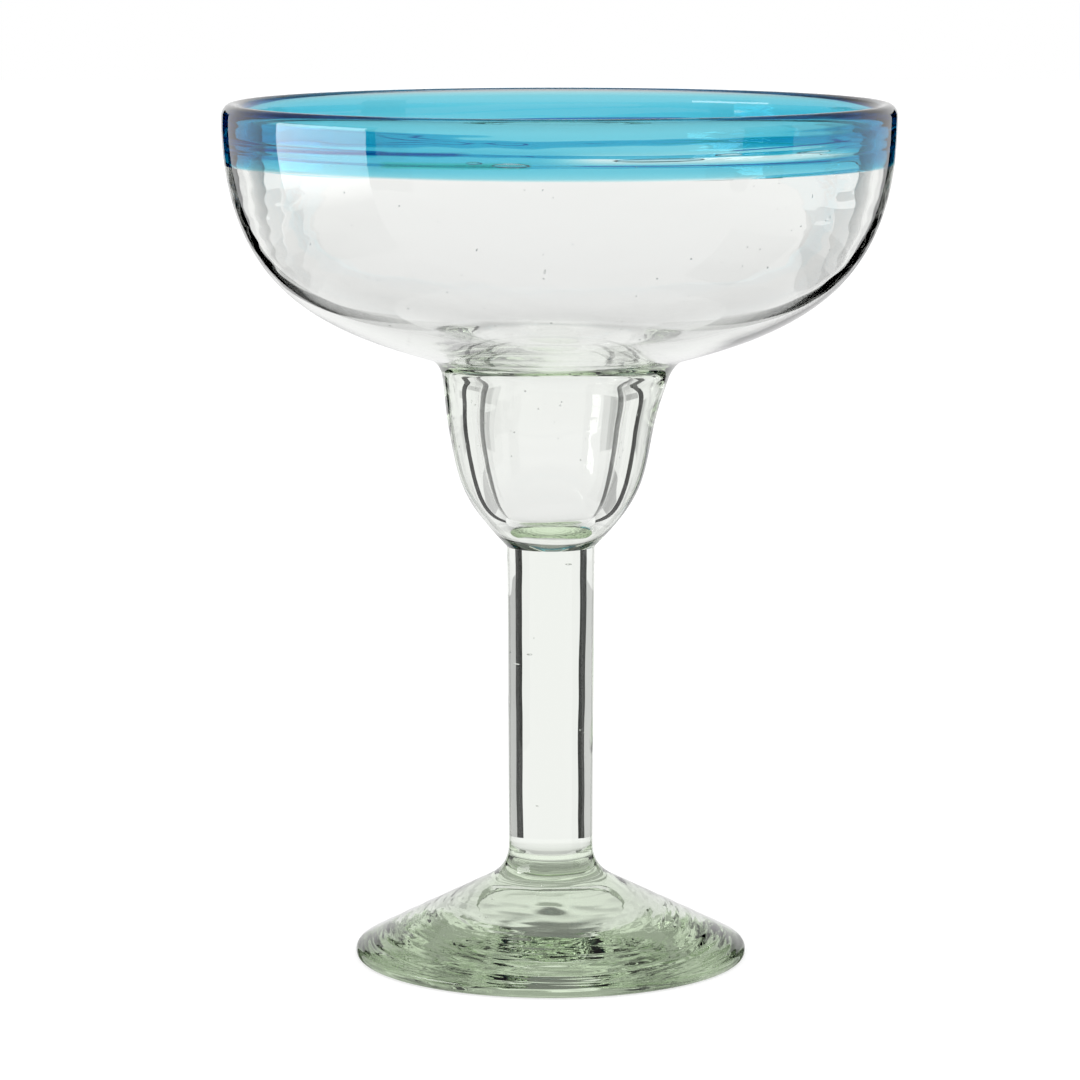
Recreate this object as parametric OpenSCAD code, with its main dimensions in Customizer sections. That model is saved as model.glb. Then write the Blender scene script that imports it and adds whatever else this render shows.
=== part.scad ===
// Hand-blown margarita glass: a wide bowl over a small lower cup, a solid stem and a cone foot.
// The glass stands on the ring under its foot, with the Z axis up through the middle of the stem.

/* [Foot] */
// Width of the foot
foot_d = 78; // [66:1:90]
// Height at which the slope of the foot would meet the stem
foot_rise = 17.4; // [12:0.2:24]
// Run of the curve that blends the slope into the stem
foot_blend = 5; // [2:0.5:8]
// Thickness of the foot at its edge
foot_edge_t = 1.7; // [1.2:0.1:4]
// Rounding of the foot's edge
foot_edge_r = 0.8; // [0.3:0.1:1.2]
// Width of the hollow under the foot
hollow_d = 60; // [40:1:62]
// Height of the hollow in the middle
hollow_h = 2.6; // [1.5:0.1:6]

/* [Pontil scar] */
// Width of the glass that the pontil iron left under the foot
scar_d = 24; // [12:1:30]
// Thickness of that glass
scar_t = 1.2; // [0.4:0.1:1.4]
// Width of the pit where it broke off
scar_pit_d = 7; // [3:0.5:9]
// Depth of the pit
scar_pit_h = 0.5; // [0.1:0.1:0.6]

/* [Stem] */
// Length of the stem between the foot and the lower cup
stem_l = 60; // [40:1:90]
// Thickness of the stem where it leaves the foot
stem_foot_d = 16.7; // [12:0.1:22]
// Thickness of the stem under the lower cup
stem_cup_d = 17.5; // [12:0.1:22]

/* [Lower cup] */
// Height of the lower cup, from the stem to the neck
cup_h = 36.7; // [30:0.1:50]
// Width of the neck between the lower cup and the wide bowl
neck_d = 46.4; // [42:0.2:56]
// Rounding of the neck
neck_blend = 2.5; // [1:0.1:4]
// Reach of the curve that swells out of the stem
cup_swell = 18; // [12:0.5:22]
// Reach of the curve that comes down from the neck
cup_side = 22.2; // [14:0.2:26]
// Taper of the cup's side, as its slope off the upright
cup_taper = 0.26; // [0.05:0.01:0.3]
// Width of the cup's hollow
hollow_cup_d = 29; // [20:0.5:30]
// Thickness of the glass between the stem and the cup's hollow
cup_floor = 4; // [3:0.1:9]

/* [Wide bowl] */
// Width across the lip
rim_d = 132; // [116:1:150]
// Height of the wide bowl, from the neck to the lip
bowl_h = 50.8; // [42:0.1:64]
// Slope of the bowl's floor beside the neck
floor_slope = 0.27; // [0.1:0.01:0.4]
// Reach of the curve that runs out along the floor
floor_reach = 24.3; // [16:0.1:30]
// Reach of the curve that comes down from the lip
side_reach = 34; // [26:0.5:38]
// Thickness of the wall at the lip
rim_wall = 4.2; // [2.8:0.1:5]
// Height of the rounded lip
lip_h = 2.4; // [1.2:0.1:4]
// Thickness of the bowl's floor where it drops into the cup
bowl_floor = 3; // [2:0.1:6]
// Width of the edge where the bowl's floor drops into the cup
drop_d = 34.4; // [32:0.2:40]
// Height of the slope from that edge down to the cup's hollow
drop_h = 5.8; // [4:0.1:10]
// Rounding at both ends of that slope
drop_blend = 2; // [0.5:0.5:3]

/* [Coloured rim] */
// Height of the aqua band, from the lip down
band_h = 11.4; // [6:0.2:20]
// Thickness of the aqua glass on the inside of the wall
band_t = 1.6; // [0.6:0.1:2]
// Height over which the band thins out at its lower edge
band_feather = 3; // [1:0.5:5]

/* [Hidden] */

// Steps of a long curve, of a rounding and of a whole turn
long_steps = 28;
round_steps = 8;
turn_steps = 120;

foot_r = foot_d / 2;
hollow_r = hollow_d / 2;
scar_r = scar_d / 2;
pit_r = scar_pit_d / 2;
stem_foot_r = stem_foot_d / 2;
stem_cup_r = stem_cup_d / 2;
neck_r = neck_d / 2;
rim_r = rim_d / 2;

// Heights of the seams and of the neck, stacked from the table up
foot_top_z = foot_rise + foot_blend;
cup_z = foot_top_z + stem_l;
neck_z = cup_z + cup_h;
total_h = neck_z + bowl_h;
lip_z = total_h - lip_h;
band_z = total_h - band_h;

// Direction in which the cup's outside leaves the stem
swell_share = [0.7, 0.72];
// The two inner control points of the cup's hollow, as shares of its width at the top and of its height
cup_round_shares = [0.78, 0];
cup_wall_shares = [0.94, 0.24];
// How thick the scar is at its edge
scar_edge_share = 0.35;

// A point on the cubic curve of four control points p, at t between 0 and 1
function on_curve(p, t) =
    pow(1 - t, 3) * p[0] + 3 * t * pow(1 - t, 2) * p[1] + 3 * t * t * (1 - t) * p[2] + pow(t, 3) * p[3];
function curve(p, steps) = [for (i = [0:steps]) on_curve(p, i / steps)];

// A corner at b between a and c, rounded by a curve that starts the run r away from it
function toward(b, a, r) = b + (a - b) * r / norm(a - b);
function rounded(a, b, c, r) =
    let (p = toward(b, a, r), q = toward(b, c, r))
    [for (i = [0:round_steps])
        let (t = i / round_steps)
        pow(1 - t, 2) * p + 2 * t * (1 - t) * b + t * t * q];

// The points of a curve that lie further than r from the point c
function away(points, c, r) = [for (p = points) if (norm(p - c) > r) p];

// The points between p and q of a curve that is drawn towards b
function bend(p, b, q) =
    [for (i = [1:round_steps - 1])
        let (t = i / round_steps)
        pow(1 - t, 2) * p + 2 * t * (1 - t) * b + t * t * q];

function reverse(points) = [for (i = [len(points) - 1:-1:0]) points[i]];

// The foot's outline: the edge, the slope and the blend into the stem
edge_r = min(foot_edge_r, foot_edge_t / 2);
foot_base = [foot_r, 0];
foot_edge = [foot_r, foot_edge_t];
foot_corner = [stem_foot_r, foot_rise];
foot_top = [stem_foot_r, foot_top_z];
foot_side = concat(
    rounded([0, 0], foot_base, foot_edge, edge_r),
    rounded(foot_base, foot_edge, foot_corner, edge_r),
    rounded(foot_edge, foot_corner, foot_top, foot_blend));

// The hollow under the foot is a shallow dome
function hollow_z(r) = hollow_h * (1 - pow(r / hollow_r, 2));
function dome(r_out) = [for (i = [0:long_steps]) let (r = r_out * i / long_steps) [r, hollow_z(r)]];

// The outside of the lower cup, from the stem to the neck
cup_start = [stem_cup_r, cup_z];
neck = [neck_r, neck_z];
cup_outer = curve([
    cup_start,
    cup_start + swell_share * cup_swell,
    neck - [cup_taper, 1] * cup_side,
    neck], long_steps);

// The outside of the wide bowl, from the neck to the lip
bowl_outer = curve([
    neck,
    neck + [1, floor_slope] * floor_reach,
    [rim_r, lip_z - side_reach],
    [rim_r, lip_z]], long_steps);

// The neck's corner, rounded between the two curves
cup_side_points = away(cup_outer, neck, neck_blend);
bowl_side_points = away(bowl_outer, neck, neck_blend);
neck_bend = bend(cup_side_points[len(cup_side_points) - 1], neck, bowl_side_points[0]);

// The lip is half an ellipse over the wall
lip_mid_r = rim_r - rim_wall / 2;
function lip_point(a) = [lip_mid_r + rim_wall / 2 * cos(a), lip_z + lip_h * sin(a)];
lip_outer = [for (i = [1:round_steps - 1]) lip_point(90 * i / round_steps)];
lip_crown = [lip_mid_r, total_h];
lip_inner = [for (i = [round_steps + 1:2 * round_steps]) lip_point(90 * i / round_steps)];

// The inside: the bowl's side and floor, the slope that drops into the cup, and the cup's hollow
drop_r = drop_d / 2;
drop_top = [drop_r, neck_z + bowl_floor - (neck_r - drop_r) * floor_slope];
drop_end = [hollow_cup_d / 2, drop_top[1] - drop_h];
bowl_inner = curve([
    drop_top,
    drop_top + [1, floor_slope] * (neck_r - drop_r + floor_reach),
    [rim_r - rim_wall, lip_z - side_reach],
    [rim_r - rim_wall, lip_z]], long_steps);
cup_base = [0, cup_z + cup_floor];
cup_hollow = drop_end - cup_base;
function in_hollow(shares) = cup_base + [cup_hollow[0] * shares[0], cup_hollow[1] * shares[1]];
cup_inner = curve([
    cup_base,
    in_hollow(cup_round_shares),
    in_hollow(cup_wall_shares),
    drop_end], long_steps);
inner_cup_points = away(cup_inner, drop_end, drop_blend);
inner_bowl_points = away(bowl_inner, drop_top, drop_blend);
drop_low_point = toward(drop_end, drop_top, drop_blend);
drop_high_point = toward(drop_top, drop_end, drop_blend);
drop_points = concat(
    bend(inner_cup_points[len(inner_cup_points) - 1], drop_end, drop_low_point),
    [drop_low_point, drop_high_point],
    bend(drop_high_point, drop_top, inner_bowl_points[0]));

// The seam between the clear wall and the aqua band, which thins out towards its lower edge
band_edge = [lookup(band_z, [for (p = inner_bowl_points) [p[1], p[0]]]), band_z];
inner_above = [for (p = inner_bowl_points) if (p[1] > band_z && p[1] < lip_z) p];
inner_below = [for (p = inner_bowl_points) if (p[1] < band_z) p];
function band_depth(z) = band_t * sin(90 * min(1, (z - band_z) / band_feather));
band_seam = [for (p = inner_above) p + [band_depth(p[1]), 0]];

module turned(outline) {
    rotate_extrude($fn = turn_steps) polygon(outline);
}

// A solid cone of glass with a rounded edge and a shallow hollow under it
module foot() {
    color([0.72, 0.80, 0.72]) turned(concat(
        dome(hollow_r),
        foot_side,
        [[0, foot_top_z]]));
}

// Rough glass that stays in the hollow where the pontil iron broke off
module pontil_scar() {
    ridge_r = (scar_r + pit_r) / 2;
    color([0.45, 0.52, 0.45]) turned(concat(
        dome(scar_r),
        [[scar_r, hollow_z(scar_r) - scar_t * scar_edge_share]],
        [[ridge_r, hollow_z(ridge_r) - scar_t]],
        [[pit_r, hollow_z(pit_r) - scar_t]],
        [[0, hollow_z(0) - scar_t + scar_pit_h]]));
}

// A solid rod of glass, a little thicker at the top
module stem() {
    color([0.88, 0.92, 0.90]) translate([0, 0, foot_top_z])
        cylinder(h = stem_l, r1 = stem_foot_r, r2 = stem_cup_r, $fn = turn_steps);
}

// The blown body: the lower cup with its thick floor and the wide bowl, clear up to the lip's crown
module bowl() {
    color([0.86, 0.92, 0.90]) turned(concat(
        [[0, cup_z]],
        cup_side_points,
        neck_bend,
        bowl_side_points,
        lip_outer,
        [lip_crown],
        reverse(band_seam),
        [band_edge],
        reverse(inner_below),
        reverse(drop_points),
        reverse(inner_cup_points)));
}

// Aqua glass on the inside of the wall, from its thin lower edge to the crown of the lip
module rim_band() {
    color([0.20, 0.68, 0.82]) turned(concat(
        [band_edge],
        band_seam,
        [lip_crown],
        lip_inner,
        reverse(inner_above)));
}

foot();
pontil_scar();
stem();
bowl();
rim_band();
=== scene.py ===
# %% [markdown]
# A hand-blown margarita glass: a wide bowl with an aqua rim, a small cup below it, a solid stem and a
# cone foot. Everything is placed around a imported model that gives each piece's true size, so the first
# step loads that frame and notes how much room it takes. The model's own meshes have coarse facets, which
# glass would show, so every piece is made again here as a fine surface.

# %% Load the frame
import math

import bpy
import numpy as np
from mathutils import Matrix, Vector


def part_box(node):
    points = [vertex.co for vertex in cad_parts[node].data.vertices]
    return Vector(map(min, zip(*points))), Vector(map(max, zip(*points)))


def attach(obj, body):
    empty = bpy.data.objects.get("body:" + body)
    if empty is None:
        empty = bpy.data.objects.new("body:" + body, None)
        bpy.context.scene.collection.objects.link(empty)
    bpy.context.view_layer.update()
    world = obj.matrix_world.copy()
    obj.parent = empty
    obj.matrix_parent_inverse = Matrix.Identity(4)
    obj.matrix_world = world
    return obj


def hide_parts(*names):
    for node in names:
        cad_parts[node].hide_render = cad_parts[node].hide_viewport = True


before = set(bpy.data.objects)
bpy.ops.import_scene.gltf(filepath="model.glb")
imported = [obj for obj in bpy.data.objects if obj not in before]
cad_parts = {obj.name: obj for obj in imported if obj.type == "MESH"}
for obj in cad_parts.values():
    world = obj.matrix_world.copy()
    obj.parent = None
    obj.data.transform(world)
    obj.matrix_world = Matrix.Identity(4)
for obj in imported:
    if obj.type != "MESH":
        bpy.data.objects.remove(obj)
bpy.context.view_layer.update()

MM = 0.001
scene = bpy.context.scene
scene.view_settings.view_transform = "Standard"

# %% [markdown]
# The camera stands 0.88 m away with a long lens and looks down by 8.3 degrees. A nearer camera with a
# shorter lens would show the glass as large, but would open the ellipse of its rim too far. It stands 2 mm
# left of the stem, because the photograph shows the stem a little right of its middle.

# %% Camera
SENSOR = 36.0
CAMERA_AWAY = 0.880
CAMERA_UP = 0.2124
CAMERA_ASIDE = -0.00215
CAMERA_DOWN = math.radians(8.336)
FOCAL_PIXELS = 4488.5
PICTURE_PIXELS = 1080

lens = bpy.data.cameras.new("camera")
lens.sensor_width = SENSOR
lens.lens = FOCAL_PIXELS / PICTURE_PIXELS * SENSOR
lens.clip_start = 0.01
lens.clip_end = 50
camera = bpy.data.objects.new("camera", lens)
camera.location = (CAMERA_ASIDE, -CAMERA_AWAY, CAMERA_UP)
camera.rotation_euler = (math.pi / 2 - CAMERA_DOWN, 0, 0)
scene.collection.objects.link(camera)
scene.camera = camera
print(f"the lens is {lens.lens:.0f} mm")

# %% [markdown]
# Glass needs long light paths: a ray may cross four walls and several seams before it leaves. The seams
# between fused pieces are see-through faces, so those bounces are raised as well.

# %% Light paths
scene.cycles.max_bounces = 24
scene.cycles.transmission_bounces = 24
scene.cycles.glossy_bounces = 12
scene.cycles.transparent_max_bounces = 32
print("a ray may bounce", scene.cycles.max_bounces, "times")

# %% [markdown]
# Shader maths reads best as plain expressions. One small class wraps a socket, so that sums and products
# of sockets and numbers add Math nodes, and one method of the tree makes any other node.


# %% A wrapper for sockets
class Value:
    """What comes out of a node. On numbers + - * / and ** add Math nodes, which would turn a colour grey."""

    def __init__(self, tree, socket):
        self.tree = tree
        self.socket = socket

    def __add__(self, other):
        return self.tree.math("ADD", self, other)

    def __radd__(self, other):
        return self.tree.math("ADD", other, self)

    def __sub__(self, other):
        return self.tree.math("SUBTRACT", self, other)

    def __rsub__(self, other):
        return self.tree.math("SUBTRACT", other, self)

    def __mul__(self, other):
        return self.tree.math("MULTIPLY", self, other)

    def __rmul__(self, other):
        return self.tree.math("MULTIPLY", other, self)

    def __truediv__(self, other):
        return self.tree.math("DIVIDE", self, other)

    def __rtruediv__(self, other):
        return self.tree.math("DIVIDE", other, self)

    def __pow__(self, other):
        return self.tree.math("POWER", self, other)

    def __rpow__(self, other):
        return self.tree.math("POWER", other, self)


print("a socket can be used like a number")


# %% A tree of nodes
class Tree:
    """The nodes of one material or world."""

    def __init__(self, owner):
        owner.use_nodes = True
        self.nodes = owner.node_tree.nodes
        self.links = owner.node_tree.links
        self.nodes.clear()

    def node(self, kind, settings=None, values=None):
        """Adds a node, sets its settings, then its sockets by name or number, and returns its outputs.

        The setting named stops fills a colour ramp.
        """
        node = self.nodes.new(kind)
        for name, value in (settings or {}).items():
            if name == "stops":
                self.fill_ramp(node.color_ramp, value)
            else:
                setattr(node, name, value)
        for name, value in (values or {}).items():
            socket = node.inputs[name]
            if isinstance(value, Value):
                self.links.new(value.socket, socket)
            else:
                socket.default_value = value
        return {s.name: Value(self, s) for s in reversed(node.outputs) if s.enabled}

    def fill_ramp(self, ramp, stops):
        """Puts (place, grey) stops into a colour ramp."""
        while len(ramp.elements) < len(stops):
            ramp.elements.new(1.0)
        for element, (place, grey) in zip(ramp.elements, stops):
            element.position = place
            element.color = (grey, grey, grey, 1)

    def math(self, operation, first, second):
        """One Math node."""
        return self.node("ShaderNodeMath", {"operation": operation}, {0: first, 1: second})["Value"]

    def clip(self, value):
        """The value kept between 0 and 1."""
        return self.node("ShaderNodeClamp", None, {"Value": value})["Result"]

    def ramp(self, value, stops):
        """The grey that the stops give at a value between 0 and 1."""
        return self.node("ShaderNodeValToRGB", {"stops": stops}, {"Fac": value})["Color"]

    def mix_colour(self, share, first, second):
        """A colour between two; sockets 6 and 7 of a Mix node are its colours."""
        return self.node("ShaderNodeMix", {"data_type": "RGBA"}, {0: share, 6: first, 7: second})["Result"]

    def place(self):
        """Where a point lies on its piece, as the outputs X, Y and Z."""
        point = self.node("ShaderNodeTexCoord")["Object"]
        return self.node("ShaderNodeSeparateXYZ", None, {"Vector": point})

    def surface(self, shader, inside=None):
        """Links a shader, and one for the depth of the glass if there is one, to the material's output."""
        ends = {"Surface": shader} if inside is None else {"Surface": shader, "Volume": inside}
        self.node("ShaderNodeOutputMaterial", None, ends)


print("a tree makes any node")

# %% [markdown]
# The studio. The picture shows the glass on pure white, lit from behind. Clear glass is seen only by what
# it bends and mirrors, so the room is made for the glass alone: the camera sees plain white, while
# reflected and refracted rays see a pale room that is dimmer above and a little dimmer below. Walls and
# lamps could do the same, but a sky of a few greys needs no tuning of lamps and gives little noise.

# %% Room
WHITE = (1, 1, 1, 1)
# Grey of the room, from straight down at 0 over level at 0.5 to straight up at 1
ROOM_SHADES = [(0.10, 0.60), (0.28, 0.92), (0.59, 0.94), (0.68, 0.62), (0.76, 0.25), (1.0, 0.20)]


def make_room():
    """White to the camera, and the room's greys by height, z/2 + 1/2, to rays that come from glass."""
    world = bpy.data.worlds.new("studio")
    tree = Tree(world)
    direction = tree.node("ShaderNodeTexCoord")["Generated"]
    height = tree.node("ShaderNodeSeparateXYZ", None, {"Vector": direction})["Z"] * 0.5 + 0.5
    path = tree.node("ShaderNodeLightPath")
    from_glass = path["Is Glossy Ray"] + path["Is Transmission Ray"]
    colour = tree.mix_colour(from_glass, WHITE, tree.ramp(height, ROOM_SHADES))
    sky = tree.node("ShaderNodeBackground", None, {"Color": colour, "Strength": 1.0})["Background"]
    tree.node("ShaderNodeOutputWorld", None, {"Surface": sky})
    scene.world = world


make_room()
print("the room has", len(ROOM_SHADES), "greys")


# %% Cards that glow
def glow(name, strength, shade=None):
    """A material that gives off light; shade, if given, works out its colour in the material's tree."""
    material = bpy.data.materials.new(name)
    tree = Tree(material)
    colour = shade(tree) if shade else WHITE
    light = tree.node("ShaderNodeEmission", None, {"Color": colour, "Strength": strength})
    tree.surface(light["Emission"])
    return material


def card(name, corners, material, sees=("glossy", "transmission")):
    """A flat sheet, its corners in order, that only the named kinds of ray see."""
    mesh = bpy.data.meshes.new(name)
    mesh.from_pydata([tuple(c) for c in corners], [], [tuple(range(len(corners)))])
    mesh.materials.append(material)
    sheet = bpy.data.objects.new(name, mesh)
    scene.collection.objects.link(sheet)
    for kind in ("camera", "diffuse", "glossy", "transmission", "shadow"):
        setattr(sheet, "visible_" + kind, kind in sees)


def upright(name, turn, distance, width, low, high, material, **how):
    """An upright card at a distance from the axis; turn 0 is behind the glass and 90 to its right."""
    a = math.radians(turn)
    middle = np.array([math.sin(a), math.cos(a)]) * distance
    side = np.array([math.cos(a), -math.sin(a)]) * width / 2
    corners = [(*(middle + s * side), z) for s, z in ((-1, low), (1, low), (1, high), (-1, high))]
    card(name, corners, material, **how)


print("cards can be set up")

# %% [markdown]
# Black cards draw the dark lines of clear glass, as a photographer's flags do. The stem bends rays from 36
# degrees beside the backdrop into two dark stripes, and the walls of the bowl bend rays from 108 degrees
# into its outline. The outline's cards stand far off and above the table, where they aren't seen straight
# through the glass from its sides. Grey cards tone the edges of the stem and the sides of the bowl.

# %% Black and grey cards
# Turn in degrees, then distance, width, low and high in metres
BLACK_CARDS = [
    (36, 0.25, 0.054, -0.35, 0.19),
    (108, 0.90, 0.324, 0.03, 0.45),
    (252, 0.90, 0.324, 0.03, 0.45),
    (324, 0.25, 0.054, -0.35, 0.19)]
GREY_CARD_AWAY = 0.30
# Turn in degrees, then width, low and high in metres, then the grey
GREY_CARDS = [
    (63, 0.22, -0.05, 0.030, 0.50),
    (297, 0.22, -0.05, 0.030, 0.62),
    (26, 0.045, 0.082, 0.14, 0.58),
    (19.3, 0.025, 0.082, 0.14, 0.78),
    (334, 0.04, 0.082, 0.14, 0.68),
    (340, 0.02, 0.082, 0.14, 0.82)]

black = glow("black_card", 0.0)
for turn, distance, width, low, high in BLACK_CARDS:
    upright(f"black_card_{turn}", turn, distance, width, low, high, black)
for turn, width, low, high, grey in GREY_CARDS:
    upright(f"grey_card_{turn}", turn, GREY_CARD_AWAY, width, low, high, glow(f"grey_{turn}", grey))
print(len(BLACK_CARDS), "black cards and", len(GREY_CARDS), "grey ones stand round the glass")

# %% [markdown]
# The floor is white to the camera and keeps a soft shadow: part of its white is its own light, and part is
# what falls on it. The glass sees a glowing table top of its own instead. It is grey in a ring under the
# foot's slope, which is painted shade, and white in the middle and further out. One white floor for both
# would be simpler, but the thick foot would then be white too, and in the photograph it is grey-green.

# %% Floor
FLOOR_HALF = 4.0
FLOOR_DROP = 0.0001
FLOOR_OWN_LIGHT = 0.62
FLOOR_PAINT = 0.55


def make_floor():
    """A square of matt paint that also glows."""
    material = bpy.data.materials.new("floor")
    tree = Tree(material)
    own = tree.node("ShaderNodeEmission", None, {"Strength": FLOOR_OWN_LIGHT})["Emission"]
    paint = (FLOOR_PAINT, FLOOR_PAINT, FLOOR_PAINT, 1)
    lit = tree.node("ShaderNodeBsdfDiffuse", None, {"Color": paint})["BSDF"]
    tree.surface(tree.node("ShaderNodeAddShader", None, {0: own, 1: lit})["Shader"])
    s = FLOOR_HALF
    corners = [(x * s, y * s, -FLOOR_DROP) for x, y in ((-1, -1), (1, -1), (1, 1), (-1, 1))]
    card("floor", corners, material, sees=("camera", "diffuse", "shadow"))


make_floor()
print("the floor is", 2 * FLOOR_HALF, "m wide")

# %% Table top
TABLE_R = 0.11
TABLE_DROP = 0.0004
TABLE_CORNERS = 48
# Grey of the table top, from its middle at 0 to its edge at 1; the grey ring under the foot is painted shade
TABLE_SHADES = [(0.0, 1.0), (0.11, 1.0), (0.20, 0.45), (0.36, 0.48), (0.50, 0.74), (0.73, 0.90), (1.0, 1.0)]


def table_shade(tree):
    """The table's grey at a point, by the point's distance from the axis: painted shade in the ring under
    the foot.
    """
    point = tree.node("ShaderNodeTexCoord")["Object"]
    distance = tree.node("ShaderNodeVectorMath", {"operation": "LENGTH"}, {0: point})["Value"]
    return tree.ramp(distance / TABLE_R, TABLE_SHADES)


table_turns = np.linspace(0, 2 * math.pi, TABLE_CORNERS, endpoint=False)
table_edge = [(TABLE_R * math.cos(a), TABLE_R * math.sin(a), -TABLE_DROP) for a in table_turns]
card("table_top", table_edge, glow("table_top", 1.0, table_shade), sees=("transmission",))
print("the glass sees a table top", 2 * TABLE_R, "m wide")

# %% [markdown]
# A tall softbox at the left makes the window-shaped highlight on the wide bowl. Glass mirrors only about a
# twenty-fifth of what falls on it, so this softbox is six times as bright as white. Only mirrored rays see
# it, so it doesn't wash out what is seen through the glass. A short strip beside it is seen by bent rays
# alone and gives the far rim a pale glow, and a weak softbox at the right is mirrored in the foot.

# %% Softboxes
SOFTBOX_AWAY = 0.21
SOFTBOX_LEFT = 6.0
SOFTBOX_FAR = 5.0
SOFTBOX_RIGHT = 0.5
FAINT = 0.05


def growing(low, high):
    """A shade that grows with height, from faint at low to full at high."""
    return lambda tree: tree.ramp((tree.place()["Z"] - low) / (high - low), [(0.0, FAINT), (1.0, 1.0)])


left_glow = glow("softbox_left", SOFTBOX_LEFT, growing(0.09, 0.135))
far_glow = glow("softbox_far", SOFTBOX_FAR)
right_glow = glow("softbox_right", SOFTBOX_RIGHT, growing(-0.06, 0.05))
upright("softbox_left", -103, SOFTBOX_AWAY, 0.145, 0.0, 0.20, left_glow, sees=("glossy",))
upright("softbox_far", -90, SOFTBOX_AWAY, 0.08, 0.138, 0.160, far_glow, sees=("transmission",))
upright("softbox_right", 106, SOFTBOX_AWAY, 0.12, -0.12, 0.05, right_glow, sees=("glossy",))
print("three softboxes are lit")

# %% [markdown]
# The sizes of the glass. Its overall sizes come from the frame. The shape between them is the outline
# that the glass-blower gives it: smooth curves that are worked out from a few reaches and thicknesses. In
# the names, R is a radius, T a thickness, H a height and Z a height above the table.

# %% Sizes from the frame
foot_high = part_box("foot")[1]
stem_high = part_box("stem")[1]
bowl_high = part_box("bowl")[1]
band_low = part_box("rim_band")[0]
scar_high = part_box("pontil_scar")[1]
FOOT_R = foot_high.x
SEAM_LOW = foot_high.z
SEAM_HIGH = stem_high.z
STEM_CUP_R = stem_high.x
RIM_R = bowl_high.x
TOP = bowl_high.z
BAND_Z = band_low.z
SCAR_R = scar_high.x
print("lip", round(RIM_R / MM, 1), "foot", round(FOOT_R / MM, 1), "top", round(TOP / MM, 1))

# %% Sizes of the outside
STEM_FOOT_R = 8.35 * MM
FOOT_RISE = 17.4 * MM
FOOT_BLEND = SEAM_LOW - FOOT_RISE
FOOT_EDGE_T = 1.7 * MM
FOOT_EDGE_R = 0.8 * MM
HOLLOW_R = 30 * MM
HOLLOW_H = scar_high.z
NECK_R = 23.2 * MM
NECK_Z = 119.1 * MM
NECK_BLEND = 2.5 * MM
CUP_SWELL = 18 * MM
CUP_SWELL_SHARES = (0.70, 0.72)
CUP_SIDE = 22.2 * MM
CUP_TAPER = 0.26
FLOOR_SLOPE = 0.27
FLOOR_REACH = 24.3 * MM
SIDE_REACH = 34 * MM
LIP_H = 2.4 * MM
LIP_Z = TOP - LIP_H
print("the lip is", LIP_H / MM, "mm high")

# %% Sizes of the walls
RIM_WALL = 4.2 * MM
BOWL_FLOOR = 3.0 * MM
DROP_R = 17.2 * MM
DROP_H = 5.8 * MM
DROP_BLEND = 2.0 * MM
HOLLOW_CUP_R = 14.5 * MM
CUP_FLOOR = 4.0 * MM
CUP_ROUND_SHARES = (0.78, 0)
CUP_WALL_SHARES = (0.94, 0.24)
BAND_T = 1.6 * MM
BAND_FEATHER = 3 * MM
print("the wall is", RIM_WALL / MM, "mm thick at the lip")

# %% [markdown]
# Outlines are lists of points (radius, height). Long stretches are cubic curves and corners are rounded
# by short quadratic ones. They could be drawn by hand as Bezier curves in Blender, but from numbers they
# follow the model exactly.


# %% Curves of an outline
def cubic(a, b, c, d, steps=80):
    """(1-t)^3 a + 3t(1-t)^2 b + 3t^2(1-t) c + t^3 d, with t from 0 to 1."""
    t = np.linspace(0, 1, steps + 1)[:, None]
    a, b, c, d = (np.array(p, float) for p in (a, b, c, d))
    return (1 - t) ** 3 * a + 3 * t * (1 - t) ** 2 * b + 3 * t * t * (1 - t) * c + t**3 * d


def bend(a, b, c, steps=10):
    """(1-t)^2 a + 2t(1-t) b + t^2 c, with t from 0 to 1."""
    t = np.linspace(0, 1, steps + 1)[:, None]
    a, b, c = (np.array(p, float) for p in (a, b, c))
    return (1 - t) ** 2 * a + 2 * t * (1 - t) * b + t * t * c


def toward(b, a, run):
    """The point at a distance run from b, on the way to a."""
    a, b = np.array(a, float), np.array(b, float)
    return b + (a - b) * run / np.linalg.norm(a - b)


def rounded(a, b, c, run):
    """The corner b between a and c, rounded from run before it to run after it."""
    return bend(toward(b, a, run), b, toward(b, c, run))


def away(points, centre, run):
    """The points further than run from centre."""
    return points[np.linalg.norm(points - np.array(centre), axis=1) > run]


print("curves are ready")

# %% Even spacing
GRID = 0.7 * MM
SAME_POINT = 1e-7


def spaced(*parts, step=GRID):
    """Joins the parts and spreads points evenly along them, about a step apart."""
    points = np.vstack([np.atleast_2d(p) for p in parts])
    runs = np.linalg.norm(np.diff(points, axis=0), axis=1)
    points = points[np.r_[True, runs > SAME_POINT]]
    along = np.r_[0, np.cumsum(np.linalg.norm(np.diff(points, axis=0), axis=1))]
    at = np.linspace(0, along[-1], max(2, int(round(along[-1] / step)) + 1))
    return np.c_[np.interp(at, along, points[:, 0]), np.interp(at, along, points[:, 1])]


print("points lie", GRID / MM, "mm apart")

# %% [markdown]
# The outside of the blown bubble runs from the stem round the small cup to the neck, and from there along
# the floor of the wide bowl and up its side. The inside follows it at the wall's thickness, except where
# the bowl's floor drops into the cup over a short slope.

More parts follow.
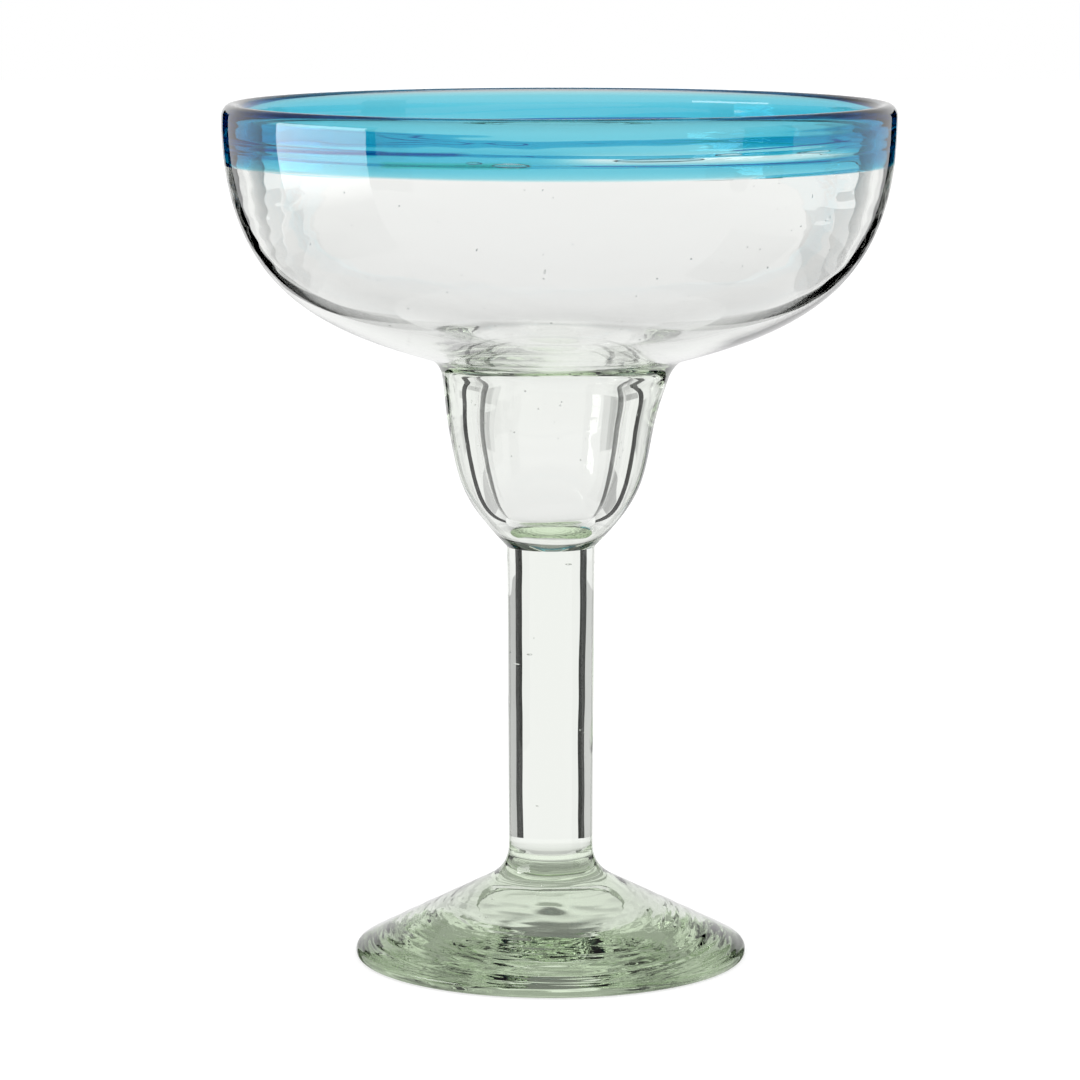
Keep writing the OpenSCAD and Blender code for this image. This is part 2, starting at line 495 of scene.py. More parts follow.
# %% Outside of the bowl
neck = np.array([NECK_R, NECK_Z])
cup_start = np.array([STEM_CUP_R, SEAM_HIGH])
cup_out = cubic(
    cup_start, cup_start + np.array(CUP_SWELL_SHARES) * CUP_SWELL,
    neck - np.array([CUP_TAPER, 1]) * CUP_SIDE, neck)
bowl_out = cubic(
    neck, neck + np.array([1, FLOOR_SLOPE]) * FLOOR_REACH,
    (RIM_R, LIP_Z - SIDE_REACH), (RIM_R, LIP_Z))
cup_out, bowl_out = away(cup_out, neck, NECK_BLEND), away(bowl_out, neck, NECK_BLEND)
outside = [cup_out, bend(cup_out[-1], neck, bowl_out[0]), bowl_out]
print("the outside has", len(spaced(*outside)), "rings of points")

# %% Inside of the bowl
inner_r = RIM_R - RIM_WALL
drop_top = np.array([DROP_R, NECK_Z + BOWL_FLOOR - (NECK_R - DROP_R) * FLOOR_SLOPE])
drop_end = np.array([HOLLOW_CUP_R, drop_top[1] - DROP_H])
bowl_in = cubic(
    drop_top, drop_top + np.array([1, FLOOR_SLOPE]) * (NECK_R - DROP_R + FLOOR_REACH),
    (inner_r, LIP_Z - SIDE_REACH), (inner_r, LIP_Z))
cup_floor_z = SEAM_HIGH + CUP_FLOOR
cup_base = np.array([0, cup_floor_z])
hollow_size = drop_end - cup_base
cup_in = cubic(
    cup_base, cup_base + hollow_size * CUP_ROUND_SHARES,
    cup_base + hollow_size * CUP_WALL_SHARES, drop_end)
cup_in, bowl_in = away(cup_in, drop_end, DROP_BLEND), away(bowl_in, drop_top, DROP_BLEND)
drop_low, drop_high = toward(drop_end, drop_top, DROP_BLEND), toward(drop_top, drop_end, DROP_BLEND)
inside = [cup_in, bend(cup_in[-1], drop_end, drop_low), bend(drop_high, drop_top, bowl_in[0]), bowl_in]
inner_all = spaced(*inside)
print("the inside has", len(inner_all), "rings of points")

# %% Lip and seam of the band
LIP_STEPS = 12
EDGE_GAP = 0.2 * MM
lip_mid = RIM_R - RIM_WALL / 2


def lip(start, end):
    """The lip, half an ellipse over the wall, between two angles in degrees."""
    a = np.radians(np.linspace(start, end, LIP_STEPS))
    return np.c_[lip_mid + RIM_WALL / 2 * np.cos(a), LIP_Z + LIP_H * np.sin(a)]


def band_share(z):
    """sin of the way up the band's thin lower edge: 0 at its end, 1 where it has its full thickness."""
    return np.sin(np.pi / 2 * np.clip((z - BAND_Z) / BAND_FEATHER, 0, 1))


inner_high = inner_all[inner_all[:, 1] > BAND_Z + EDGE_GAP]
inner_low = inner_all[inner_all[:, 1] < BAND_Z - EDGE_GAP]
band_edge = np.array([[np.interp(BAND_Z, inner_all[:, 1], inner_all[:, 0]), BAND_Z]])
share = band_share(inner_high[:, 1])
band_seam = inner_high + np.c_[BAND_T * share, 0 * share]
band_seam = band_seam[band_seam[:, 1] < LIP_Z]
print("the band's seam has", len(band_seam), "rings of points")

# %% [markdown]
# The glass was shaped by hand, so no surface is quite true. Three soft waves push the surfaces in and
# out by a tenth or two of a millimetre, and the wide bowl stands 1.6 mm off the stem's axis. A bump map
# could bend the light in the same way, but it would leave the outline and the wall's thickness even.

# %% Handmade wavering
BOWL_LEAN = 1.65 * MM
LEAN_LOW = NECK_Z - 14 * MM
LEAN_HIGH = NECK_Z + 6 * MM
WAVER = 0.16 * MM
WAVER_STEP = 10 * MM
# Share of each wave, waves in a turn, its twist over a step of height, and how far the seed shifts it
WAVES = [(0.45, 2, 0.35, 1.0), (0.30, 3, -0.55, 2.1), (0.25, 5, 0.9, 0.7)]


def smooth(value, low, high):
    """t^2 (3 - 2t), with t 0 below low, 1 above high and even between: a smooth step."""
    t = np.clip((value - low) / (high - low), 0, 1)
    return t * t * (3 - 2 * t)


def lean(z):
    """How far a height stands off the axis, in +X: a smooth step at the neck."""
    return BOWL_LEAN * smooth(z, LEAN_LOW, LEAN_HIGH)


def waver(turn, z, seed):
    """A sum of slow waves, about one high: each is its share of sin(count turn + twist + shift)."""
    total = 0
    for size, count, twist, shift in WAVES:
        total = total + size * np.sin(count * turn + twist * z / WAVER_STEP + shift * seed)
    return total


def bump(distance, width):
    """exp(-(distance/width)^2)."""
    return np.exp(-((distance / width) ** 2))


print("surfaces waver by", WAVER / MM, "mm")

# %% [markdown]
# The aqua glass was laid on as a hot thread, in turns. Its ridges are still there on the inside, and the
# layer of colour is thicker at a ridge and thin between two of them, where the wall looks almost clear.

# %% Threads of the band
# Start over the band's edge, climb, half width and height of each thread, in mm
THREADS = [(2.9, 1.0, 0.30, 0.16), (4.8, 1.0, 0.35, 0.13), (7.4, 2.0, 0.8, 0.10)]
# Clear gap between two threads: its start and climb in mm, its half width, its depth and where it is
GAP_START = 3.9
GAP_CLIMB = 0.5
GAP_WIDTH = 0.95 * MM
GAP_DEPTH = 1.5 * MM
GAP_TURN = -math.pi / 3
GAP_ENDS = (0.82, 0.93)
COLOUR_SWING = 0.8 * MM
COLOUR_WAVE = 1.1 * MM
LARGEST_LOSS = 0.85


def thread_height(turn, start, climb):
    """A thread's height: its start over the band's edge, plus its climb times three waves round it."""
    wander = 0.25 * np.sin(turn + 2.2) + 0.18 * np.sin(2 * turn + 0.4) + 0.12 * np.sin(5 * turn + start)
    return BAND_Z + (start + climb * wander) * MM


def threads(turn, z):
    """The ridges of the threads: for each its height, times a bump across it, times waves along it.

    They fade out at the band's edge and at the lip.
    """
    fade = smooth(z, BAND_Z + 0.2 * MM, BAND_Z + 1.4 * MM) * (1 - smooth(z, LIP_Z - 2.0 * MM, LIP_Z))
    ridge = 0
    for start, climb, width, high in THREADS:
        strength = 0.55 + 0.45 * np.sin(3 * turn + 2 * start) * np.sin(turn + start)
        ridge = ridge + high * strength * bump(z - thread_height(turn, start, climb), width * MM)
    return fade * ridge * MM


def colour_depth(turn, z):
    """How much deeper than in its outline the aqua layer is: slow waves, less a gap between two threads.

    It is fuller at its lower edge too, and thinner towards the lip, in two steps. The waves and the gap
    take LARGEST_LOSS of its depth at most, so that its two faces stay apart.
    """
    share = band_share(z)
    fuller = BAND_T * (share**0.5 - share)
    fuller = fuller - 0.15 * MM * smooth(z, LIP_Z - 6 * MM, LIP_Z - 3 * MM)
    fuller = fuller - 0.35 * MM * smooth(z, LIP_Z - 1.2 * MM, LIP_Z)
    fade = smooth(z, BAND_Z + 0.3 * MM, BAND_Z + 2.5 * MM) * (1 - smooth(z, LIP_Z - 1.5 * MM, LIP_Z))
    slow = 0.25 * np.sin(2 * turn + 0.5) + 0.20 * np.sin((z - BAND_Z) / COLOUR_WAVE + 3 * np.sin(turn + 0.7))
    gap = bump(z - thread_height(turn, GAP_START, GAP_CLIMB), GAP_WIDTH)
    gap = gap * smooth(np.cos(turn - GAP_TURN), *GAP_ENDS)
    change = fade * (COLOUR_SWING * slow - GAP_DEPTH * gap)
    return fuller + np.maximum(change, -LARGEST_LOSS * BAND_T * share)


print(len(THREADS), "threads wind round the band")

# %% [markdown]
# Each piece is turned on a wheel: its outline is carried round the axis, pushed along its own normal by
# the waves, and closed at its poles. Blender's Screw modifier turns an outline too, but the waves need
# every point's place, so the whole surface is worked out at once. Fused pieces meet face to face, and
# the faces of such a seam are marked on the mesh, so that its glass can let light straight through.

# %% Turning an outline
TURNS = 288
SHARP_ANGLE = math.radians(40)
NO_LENGTH = 1e-12


def marked(total, *ranges):
    """A column of zeros with ones in the given ranges of rows."""
    column = np.zeros((total, 1))
    for first, last in ranges:
        column[first:last] = 1
    return column


def turn_outline(points, push, sideways, closed_ring):
    """x = (r + p nr) cos a + lean, y = (r + p nr) sin a, z = z + p nz, with p the push along the normal n.

    Rows marked sideways are pushed straight out from the axis instead.
    """
    a = np.linspace(0, 2 * np.pi, TURNS, endpoint=False)[None, :]
    r, z = points[:, :1], points[:, 1:]
    step = np.roll(points, -1, 0) - np.roll(points, 1, 0) if closed_ring else np.gradient(points, axis=0)
    normal = np.c_[step[:, 1], -step[:, 0]]
    normal /= np.linalg.norm(normal, axis=1)[:, None] + NO_LENGTH
    normal[sideways[:, 0] > 0] = (1, 0)
    p = push(a, r, z) * np.ones_like(a)
    big_r, big_z = r + p * normal[:, :1], z + p * normal[:, 1:]
    return np.stack([big_r * np.cos(a) + lean(big_z), big_r * np.sin(a), big_z], axis=-1)


def net(grid, closed_ring):
    """Points and faces of a grid (ring, turn, xyz): four-cornered faces, and fans of triangles at poles."""
    rings = len(grid)
    if closed_ring:
        number = np.arange(rings * TURNS).reshape(rings, TURNS)
        low, high = number, np.roll(number, -1, 0)
        points = grid.reshape(-1, 3)
    else:
        last = (rings - 2) * TURNS + 1
        middle = np.arange(1, last).reshape(rings - 2, TURNS)
        number = np.vstack([np.zeros(TURNS, int), middle, np.full(TURNS, last)])
        low, high = number[:-1], number[1:]
        points = np.vstack([grid[0].mean(0), grid[1:-1].reshape(-1, 3), grid[-1].mean(0)])
    corners = np.stack([low, np.roll(low, -1, 1), np.roll(high, -1, 1), high], -1).reshape(-1, 4)
    if closed_ring:
        return points, corners.tolist()
    first_fan, last_fan = corners[:TURNS, [0, 2, 3]], corners[-TURNS:, :3]
    return points, first_fan.tolist() + corners[TURNS:-TURNS].tolist() + last_fan.tolist()


def turned(name, outline, push, seams, closed_ring=False, sideways=None):
    """A closed mesh from an outline that starts and ends on the axis, or closes on itself.

    Where seams marks a row, the faces from there to the next row are a seam.
    """
    sideways = marked(len(outline)) if sideways is None else sideways
    points, faces = net(turn_outline(outline, push, sideways, closed_ring), closed_ring)
    mesh = bpy.data.meshes.new(name)
    mesh.from_pydata(points.tolist(), [], faces)
    face_rows = len(faces) // TURNS
    seam = mesh.attributes.new("seam", "FLOAT", "FACE")
    seam.data.foreach_set("value", np.repeat(seams[:face_rows], TURNS))
    mesh.shade_smooth()
    mesh.set_sharp_from_angle(angle=SHARP_ANGLE)
    piece = bpy.data.objects.new(name, mesh)
    scene.collection.objects.link(piece)
    print(name, len(mesh.polygons), "faces")
    return piece


print("a turn has", TURNS, "steps")

# %% [markdown]
# The glass itself. Clear recycled glass is not quite colourless: it swallows a little red and blue over
# its depth, so thin walls look clear and the thick foot looks grey-green. A tinted surface could stand
# in for that, but it would be as dark where the glass is thin. The seam faces let light straight
# through, because fused glass has no surface there. The aqua glass is marbled with thin streaks of navy
# and green, which lie so near its surface that a tint of the surface can stand for them. The navy
# streaks are partly the glass's own colour and partly painted shade, for the dark lines that the
# ridges of its threads show.

# %% Streaks of colour and painted shade
# Navy darkens the band: partly the streaks' own colour, partly painted shade of the thread ridges' dark
# lines
NAVY_AND_SHADE = (0.02, 0.06, 0.35, 1)
GREEN = (0.10, 0.75, 0.35, 1)
# The larger this is, the nearer to its ends a streak stays full
STREAK_FULLNESS = 4
# First and last turn in degrees, height at each over the band's edge and half width in mm, and tint
STREAKS = [
    (-156, -103, 4.0, 4.9, 0.45, NAVY_AND_SHADE),
    (-150, -118, 5.1, 5.0, 0.16, NAVY_AND_SHADE),
    (-121, -93, 2.6, 2.9, 0.70, GREEN),
    (-88, -34, 2.9, 2.5, 0.14, NAVY_AND_SHADE),
    (-60, -30, 5.2, 6.0, 0.18, NAVY_AND_SHADE),
    (-30, 25, 3.4, 4.4, 0.26, NAVY_AND_SHADE),
    (20, 70, 2.4, 2.8, 0.40, GREEN),
    (60, 128, 5.4, 4.4, 0.30, NAVY_AND_SHADE),
    (110, 165, 2.8, 3.6, 0.22, NAVY_AND_SHADE)]


def streaked(tree):
    """White with thin streaks of colour, the navy ones partly painted shade, each strongest on a line from
    one turn and height to another.
    """
    place = tree.place()
    turn = tree.math("ARCTAN2", place["Y"], place["X"])
    colour = WHITE
    for start, end, low, high, width, tint in STREAKS:
        middle, half = math.radians((start + end) / 2), math.radians(end - start) / 2
        along = (turn - middle) / half
        centre = along * ((high - low) / 2 * MM) + (BAND_Z + (low + high) / 2 * MM)
        across = ((place["Z"] - centre) / (width * MM)) ** 2
        strength = tree.clip(1 - across) * tree.clip((1 - along * along) * STREAK_FULLNESS)
        colour = tree.mix_colour(strength, colour, tint)
    return colour


print(len(STREAKS), "streaks lie in the aqua glass")

# %% Glass
GLASS_IOR = 1.52
# Shares of red, green and blue light that a metre of each glass swallows
CLEAR_SWALLOWED = (3.4, 1.9, 4.6)
FOOT_SWALLOWED = (5.0, 2.4, 7.0)
AQUA_SWALLOWED = (1450.0, 335.0, 165.0)
BREAK_ROUGHNESS = 0.12
DENSITY_MARGIN = 1.001


def blown_glass(name, swallowed, rough=0.0, streaks=False):
    """Glass that swallows light in its depth, and lets it straight through at faces marked as a seam.

    The density is the largest share swallowed, and the colour is 1 - share / density.
    """
    material = bpy.data.materials.new(name)
    tree = Tree(material)
    colour = streaked(tree) if streaks else WHITE
    body = tree.node("ShaderNodeBsdfPrincipled", None, {
        "Base Color": colour, "Roughness": rough, "IOR": GLASS_IOR, "Transmission Weight": 1.0})["BSDF"]
    clear = tree.node("ShaderNodeBsdfTransparent")["BSDF"]
    seam = tree.node("ShaderNodeAttribute", {"attribute_name": "seam"})["Fac"]
    density = max(swallowed) * DENSITY_MARGIN
    left = (*(1 - s / density for s in swallowed), 1)
    depth = tree.node("ShaderNodeVolumeAbsorption", None, {"Color": left, "Density": density})["Volume"]
    tree.surface(tree.node("ShaderNodeMixShader", None, {0: seam, 1: body, 2: clear})["Shader"], depth)
    return material


clear_glass = blown_glass("clear_glass", CLEAR_SWALLOWED)
foot_glass = blown_glass("foot_glass", FOOT_SWALLOWED)
aqua_glass = blown_glass("aqua_glass", AQUA_SWALLOWED, streaks=True)
broken_glass = blown_glass("broken_glass", FOOT_SWALLOWED, rough=BREAK_ROUGHNESS)
print("four glasses are mixed")

# %% [markdown]
# Each piece stands for a node of the model, alone or with its seeds, and moves with its body. Fused pieces
# touch on the real glass. Here a gap finer than a hair is left between them, because a ray can't tell
# which of two faces in the same place it meets first.

# %% Finishing a piece
SEAM_GAP = 0.005 * MM


def finish_piece(piece, material, node):
    """Gives a piece its glass and the body it moves with, and hides the model's node that it stands for."""
    piece.data.materials.append(material)
    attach(piece, "root")
    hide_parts(node)


print("fused pieces lie", 2 * SEAM_GAP / MM, "mm apart")

# %% [markdown]
# The foot is a gather of glass that was dropped on a plate and opened with a tool, which left fine rings
# on its slope. Under it is a shallow hollow, so that it stands on a flat ring. A bump map could draw the
# rings as well. They are real relief here, because the mesh keeps that when it is used elsewhere.

# %% Outline of the foot
HOLLOW_STEPS = 100
FOOT_GRID = 0.25 * MM
STANDING_START = 0.2 * MM
CAP_SHARE = 0.5
foot_base, foot_edge = (FOOT_R, 0), (FOOT_R, FOOT_EDGE_T)
foot_corner, foot_top = (STEM_FOOT_R, FOOT_RISE), (STEM_FOOT_R, SEAM_LOW - SEAM_GAP)


def hollow_z(r):
    """The hollow is a shallow dome: its height times 1 - (r / its radius)^2."""
    return HOLLOW_H * (1 - (r / HOLLOW_R) ** 2)


hollow_run = np.linspace(0, HOLLOW_R, HOLLOW_STEPS)
hollow = np.c_[hollow_run, hollow_z(hollow_run)]
foot_side = spaced(
    (HOLLOW_R + STANDING_START, 0), rounded((0, 0), foot_base, foot_edge, FOOT_EDGE_R),
    rounded(foot_base, foot_edge, foot_corner, FOOT_EDGE_R),
    rounded(foot_edge, foot_corner, foot_top, FOOT_BLEND), step=FOOT_GRID)
foot_cap = np.array([[STEM_FOOT_R * CAP_SHARE, foot_top[1]], [0, foot_top[1]]])
foot_outline = np.vstack([hollow, foot_side, foot_cap])
print("the foot has", len(foot_outline), "rings of points")

# %% Tool rings
RING_DEPTH = 0.020 * MM
UNDER_SHARE = 0.8
STANDING_SHARE = 1.2
# Height of a set of rings, their spacing in mm, and two bends round the foot: size, waves and phase
TOOL_RINGS = [
    (1.0, 0.19, (2.3, 1, 0), (1.8, 3, 1)),
    (1.6, 0.33, (3.1, 2, 1), (1.0, 7, 0)),
    (3.0, 0.80, (2.0, 3, 2), (1.0, 5, 0))]
cone_part = marked(len(foot_outline), (len(hollow), None))


def tool_rings(a, r):
    """A sum of sin(r / spacing + bends), where a bend is size sin(waves a + phase)."""
    rings = 0
    for height, spacing, *bends in TOOL_RINGS:
        bent = sum(size * np.sin(waves * a + phase) for size, waves, phase in bends)
        rings = rings + height * np.sin(r / (spacing * MM) + bent)
    return rings


def foot_push(a, r, z):
    """Tool rings on the slope, in the hollow and, upwards only, on the ring that the glass stands on.

    Each of the three is a mask by height and radius, times the rings, times a patch that comes and goes
    round the foot. On the slope they grow towards the edge, and the slow waver is added.
    """
    rings = tool_rings(a, r)
    patch = 0.6 + 0.4 * np.sin(2 * a + 0.6 + r / (5 * MM)) * np.sin(5 * a + 2 - r / (7 * MM))
    on_cone = cone_part * smooth(z, 1.0 * MM, 2.2 * MM)
    on_cone = on_cone * (1 - smooth(z, SEAM_LOW - 6 * MM, SEAM_LOW - 3 * MM))
    edge = 0.25 + 0.75 * smooth(r, 14 * MM, 30 * MM)
    under = (1 - cone_part) * (r < HOLLOW_R - 0.2 * MM) * smooth(r, SCAR_R, SCAR_R + 3 * MM)
    under = under * (1 - smooth(r, HOLLOW_R - 4 * MM, HOLLOW_R - 1 * MM))
    standing = (z < 0.01 * MM) * smooth(r, HOLLOW_R, HOLLOW_R + 2 * MM)
    standing = standing * (1 - smooth(r, FOOT_R - 3 * MM, FOOT_R - 1.2 * MM))
    marks = (on_cone * edge + UNDER_SHARE * under) * rings - STANDING_SHARE * standing * np.abs(rings)
    return marks * RING_DEPTH * patch + on_cone * WAVER * waver(a, z, 0.4)


print("the tool left", len(TOOL_RINGS), "sets of rings")

# %% Foot
SCAR_EDGE_GAP = 0.3 * MM
foot_seams = marked(len(foot_outline), (-len(foot_cap) - 1, None))
foot_seams[:len(hollow), 0] = hollow_run < SCAR_R - SCAR_EDGE_GAP
foot = turned("foot", foot_outline, foot_push, foot_seams)
finish_piece(foot, foot_glass, "foot")

# %% [markdown]
# The stem is a solid rod, drawn out of the hot foot. A cylinder would do, but a slow waver and a few
# lengthwise ripples break up its dark stripes as the photograph shows.

# %% Stem
STEM_WAVER_SHARE = 0.5
STEM_RIPPLE = 0.012 * MM
STEM_FADE = 6 * MM
stem_side = spaced((STEM_FOOT_R, SEAM_LOW + SEAM_GAP), (STEM_CUP_R, SEAM_HIGH - SEAM_GAP))
stem_low, stem_end = stem_side[0, 1], stem_side[-1, 1]
stem_outline = np.vstack([
    [[0, stem_low], [STEM_FOOT_R * CAP_SHARE, stem_low]], stem_side,
    [[STEM_CUP_R * CAP_SHARE, stem_end], [0, stem_end]]])
stem_wall = marked(len(stem_outline), (2, -2))


def stem_push(a, r, z):
    """A slow waver and ripples, sin(7 a + 1.7 sin(z / 4 mm) + z / 9 mm), that die out at both seams."""
    middle = smooth(z, SEAM_LOW, SEAM_LOW + STEM_FADE) * (1 - smooth(z, SEAM_HIGH - STEM_FADE, SEAM_HIGH))
    ripple = np.sin(7 * a + 1.7 * np.sin(z / (4 * MM)) + z / (9 * MM))
    return stem_wall * middle * (STEM_WAVER_SHARE * WAVER * waver(a, z, 1.9) + STEM_RIPPLE * ripple)


stem = turned("stem", stem_outline, stem_push, marked(len(stem_outline), (0, 2), (-3, None)))
finish_piece(stem, clear_glass, "stem")

# %% [markdown]
# The bowl is one blown bubble: the outside of the cup and the bowl, over the lip to where the colour
# starts, down the seam with the aqua glass, and along the inside to the cup's floor. A Solidify modifier
# would make a wall of one thickness from the outside alone, but a blown wall is thicker in the cup, so
# both sides are drawn. The inside also has a fine ripple, which makes the ragged strips that stand along
# the bowl's sides in the photograph.

# %% Outline of the bowl
# Angle over the lip, in degrees from its outer edge, at which the clear glass ends and the aqua starts
COLOUR_START = 125
bowl_cap = np.array([[0, SEAM_HIGH + SEAM_GAP], [STEM_CUP_R * CAP_SHARE, SEAM_HIGH + SEAM_GAP]])
bowl_outer = spaced(*outside, lip(0, COLOUR_START))
bowl_outer[0, 1] += SEAM_GAP
seam_down = band_seam[::-1] + [SEAM_GAP, 0]
bowl_outline = np.vstack([bowl_cap, bowl_outer, seam_down, band_edge, inner_low[::-1]])
seam_start = len(bowl_cap) + len(bowl_outer)
seam_end = seam_start + len(seam_down)
outer_part = marked(len(bowl_outline), (len(bowl_cap), seam_start))
seam_part = marked(len(bowl_outline), (seam_start, seam_end))
inner_part = marked(len(bowl_outline), (seam_end, None))
print("the bowl has", len(bowl_outline), "rings of points")

# %% Bowl
INNER_RIPPLE = 0.018 * MM
CUP_RIPPLE_SHARE = 0.12
LIP_FADE = 3 * MM


def inner_push(a, r, z):
    """The wavering and rippling of the inside, which dies out at the cup's floor and at the lip.

    The ripple is sin(z / 0.75 mm + bends) sin(11 a + z / 3 mm), and is faint in the cup.
    """
    fade = smooth(z, cup_floor_z, cup_floor_z + 8 * MM) * (1 - smooth(z, LIP_Z - LIP_FADE, LIP_Z))
    bends = 3 * np.sin(4 * a + 1) + 2 * np.sin(7 * a)
    ripple = np.sin(z / (0.75 * MM) + bends) * np.sin(11 * a + z / (3 * MM))
    in_bowl = CUP_RIPPLE_SHARE + (1 - CUP_RIPPLE_SHARE) * smooth(z, NECK_Z + 12 * MM, NECK_Z + 22 * MM)
    return fade * (WAVER * waver(a, z, 3.3) + INNER_RIPPLE * in_bowl * ripple)


def seam_push(a, r, z):
    """The seam moves out where the colour is deep, and follows the inside, whose normal points inwards."""
    return colour_depth(a, z) - inner_push(a, r, z)


def bowl_push(a, r, z):
    """A slow waver on the outside, and the pushes of the seam and the inside."""
    fade = smooth(z, SEAM_HIGH, SEAM_HIGH + 5 * MM) * (1 - smooth(z, LIP_Z - LIP_FADE, LIP_Z))
    outer = outer_part * WAVER * fade * waver(a, z, 0.8)
    return outer + seam_part * seam_push(a, r, z) + inner_part * inner_push(a, r, z)


bowl_seams = marked(len(bowl_outline), (0, len(bowl_cap)), (seam_start - 1, seam_end))
bowl = turned("bowl", bowl_outline, bowl_push, bowl_seams, sideways=seam_part)
finish_piece(bowl, clear_glass, "bowl")

# %% [markdown]
# The rim band is the layer of aqua glass on the inside of the wall. Its outline closes on itself: up the
# seam, over the inner part of the lip, and down the inside to the thin lower edge. Painting the colour on
# the clear bowl would be quicker, but the depth of a real layer is what makes its tone vary.

# %% Rim band
BAND_GRID = 0.2 * MM
seam_up = band_seam - [SEAM_GAP, 0]
band_down = spaced(inner_high[inner_high[:, 1] < LIP_Z - EDGE_GAP][::-1], step=BAND_GRID)
band_outline = np.vstack([band_edge, seam_up, spaced(lip(COLOUR_START, 180)), band_down])
# The face is what can be touched, with the lower edge, and the back is the seam
band_face = marked(len(band_outline), (0, 1), (len(seam_up) + 2, None))
band_back = marked(len(band_outline), (1, len(seam_up) + 1))


def band_push(a, r, z):
    """The inside's push and the threads on the face, and the seam's push on the back."""
    return band_face * (inner_push(a, r, z) + threads(a, z)) + band_back * seam_push(a, r, z)


band_seams = marked(len(band_outline), (0, len(seam_up) + 1))
rim_band = turned("rim_band", band_outline, band_push, band_seams, closed_ring=True, sideways=band_back)
finish_piece(rim_band, aqua_glass, "rim_band")

# %% [markdown]
# The pontil scar is the glass that broke off the iron rod which held the foot. It covers the middle of the
# hollow, fused to it above and broken below, with a pit in the middle. A rough finish alone would leave the
# break flat, so waves in two directions make it jagged and the finish is only a little rough.

# %% Pontil scar
SCAR_STEPS = 24
SCAR_T = 1.0 * MM
SCAR_EDGE_LIFT = 0.55 * MM
PIT_R = 3.5 * MM
PIT_H = 0.45 * MM
JAG = 0.05 * MM
scar_run = np.linspace(0, SCAR_R, SCAR_STEPS)
scar_top = np.c_[scar_run, hollow_z(scar_run) - SEAM_GAP * 2]
scar_under = scar_top - [0, SCAR_T]
scar_under[:, 1] += PIT_H * (1 - smooth(scar_run, 0, PIT_R))
scar_under[-1, 1] += SCAR_EDGE_LIFT
scar_outline = np.vstack([scar_under, scar_top[::-1]])
broken_part = marked(len(scar_outline), (0, SCAR_STEPS - 1))


def scar_push(a, r, z):
    """A jagged break: the product of two bent sine waves, one across and one along."""
    x, y = r * np.cos(a), r * np.sin(a)
    across = np.sin(x / (1.9 * MM) + 2 * np.sin(y / (2.3 * MM)))
    along = np.sin(y / (1.8 * MM) + 1.5 * np.sin(x / (2.7 * MM)))
    fade = (1 - smooth(r, SCAR_R * 0.85, SCAR_R)) * smooth(r, 0, 1.5 * MM)
    return broken_part * JAG * across * along * fade


pontil_scar = turned("pontil_scar", scar_outline, scar_push, marked(len(scar_outline), (SCAR_STEPS, None)))
finish_piece(pontil_scar, broken_glass, "pontil_scar")

# %% [markdown]
# Seeds are tiny bubbles that never rose out of the melt. They lie just under the outside of the glass,
# and some near the rim are drawn out by the turning. Painted dots would look flat, because it is the light
# that a seed bends that shows it, so each one is a real little ball. It is so small that fifty to a hundred
# faces are enough.

# %% Seeds
SEED_IOR = 1.45
seed_air = bpy.data.materials.new("seed_air")
seed_tree = Tree(seed_air)
seed_tree.surface(seed_tree.node("ShaderNodeBsdfPrincipled", None, {
    "Base Color": WHITE, "Roughness": 0.0, "IOR": SEED_IOR, "Transmission Weight": 1.0})["BSDF"])


def ball(steps, turns):
    """Points and faces of a sphere of radius 1: rings (sin u cos a, sin u sin a, cos u), then two poles."""
    up = np.linspace(0, np.pi, steps + 1)[1:-1]
    a = np.linspace(0, 2 * np.pi, turns, endpoint=False)
    rings = np.stack([
        np.outer(np.sin(up), np.cos(a)), np.outer(np.sin(up), np.sin(a)),
        np.outer(np.cos(up), np.ones(turns))], -1).reshape(-1, 3)
    top, bottom, last = len(rings), len(rings) + 1, (steps - 2) * turns
    each = [(k, (k + 1) % turns) for k in range(turns)]
    faces = [(top, k, after) for k, after in each]
    faces += [(bottom, last + after, last + k) for k, after in each]
    for ring in range(0, last, turns):
        below = ring + turns
        faces += [(ring + k, below + k, below + after, ring + after) for k, after in each]
    return np.vstack([rings, [(0, 0, 1), (0, 0, -1)]]), faces


def bubbles(name, places, faces, node):
    """One mesh of many balls; places is an array (ball, point, xyz)."""
    count, size = places.shape[:2]
    every_face = [tuple(v + i * size for v in face) for i in range(count) for face in faces]
    mesh = bpy.data.meshes.new(name)
    mesh.from_pydata(places.reshape(-1, 3).tolist(), [], every_face)
    mesh.shade_smooth()
    piece = bpy.data.objects.new(name, mesh)
    scene.collection.objects.link(piece)
    finish_piece(piece, seed_air, node)
    print(name, count, "bubbles")


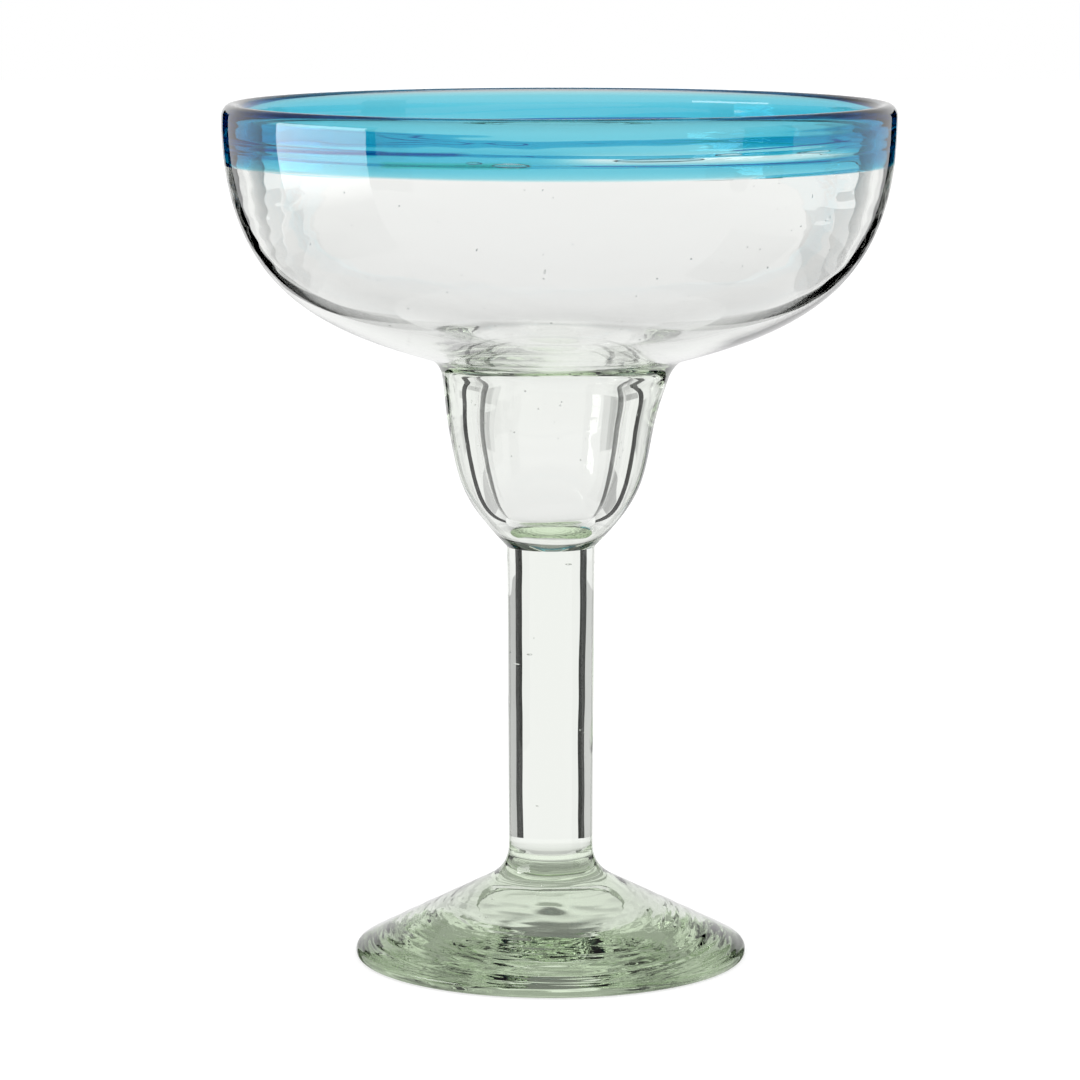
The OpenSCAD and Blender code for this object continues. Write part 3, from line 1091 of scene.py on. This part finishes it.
# %% Round seeds
SEED_DEPTH = 1.3 * MM
# Smallest and largest radius in mm
SEED_RADII = (0.10, 0.22)
dice = np.random.default_rng(11)


def seeds(name, outline, count, node):
    """Balls under random points of an outline, each SEED_DEPTH inwards along the outline's normal."""
    at = dice.integers(2, len(outline) - 2, count)
    turn = dice.uniform(0, 2 * np.pi, count)
    step = outline[at + 1] - outline[at - 1]
    inward = np.c_[-step[:, 1], step[:, 0]] / np.linalg.norm(step, axis=1)[:, None]
    r, z = (outline[at] + inward * SEED_DEPTH).T
    middle = np.c_[r * np.cos(turn) + lean(z), r * np.sin(turn), z]
    radius = dice.uniform(*SEED_RADII, count) * MM
    points, faces = ball(6, 8)
    bubbles(name, middle[:, None, :] + points[None] * radius[:, None, None], faces, node)


# Seeds keep away from the ends of an outline, where an edge or a seam is
seeds("bowl_seeds", bowl_outer[30:-14], 150, "bowl")
seeds("stem_seeds", stem_side, 8, "stem")

# %% Long seeds
# Turn in degrees, then height over the band's edge, half length and half height in mm
LONG_SEEDS = [
    (-98, 3.0, 3.6, 0.42),
    (-104, 3.4, 1.6, 0.28),
    (-74, 3.9, 9.0, 0.34),
    (-62, 4.6, 3.0, 0.25),
    (-44, 4.4, 5.0, 0.22)]
LONG_SEED_DEPTH = 0.75 * MM
LONG_SEED_HALF_T = 0.35 * MM


def long_seeds(name, node):
    """Balls bent round the wall: a ball's x runs round the glass, its y out of the wall and its z up."""
    points, faces = ball(8, 12)
    turn, height, half_long, half_high = (np.array(column)[:, None] for column in zip(*LONG_SEEDS))
    a = np.radians(turn) + points[:, 0] * half_long * MM / RIM_R
    z = BAND_Z + (height + points[:, 2] * half_high) * MM
    depth = LONG_SEED_DEPTH + LONG_SEED_HALF_T * points[:, 1]
    r = np.interp(z, bowl_outer[:, 1], bowl_outer[:, 0]) - depth
    bubbles(name, np.stack([r * np.cos(a) + lean(z), r * np.sin(a), z], -1), faces, node)


long_seeds("long_seeds", "bowl")
seeds("foot_seeds", foot_side[48:-16], 30, "foot")
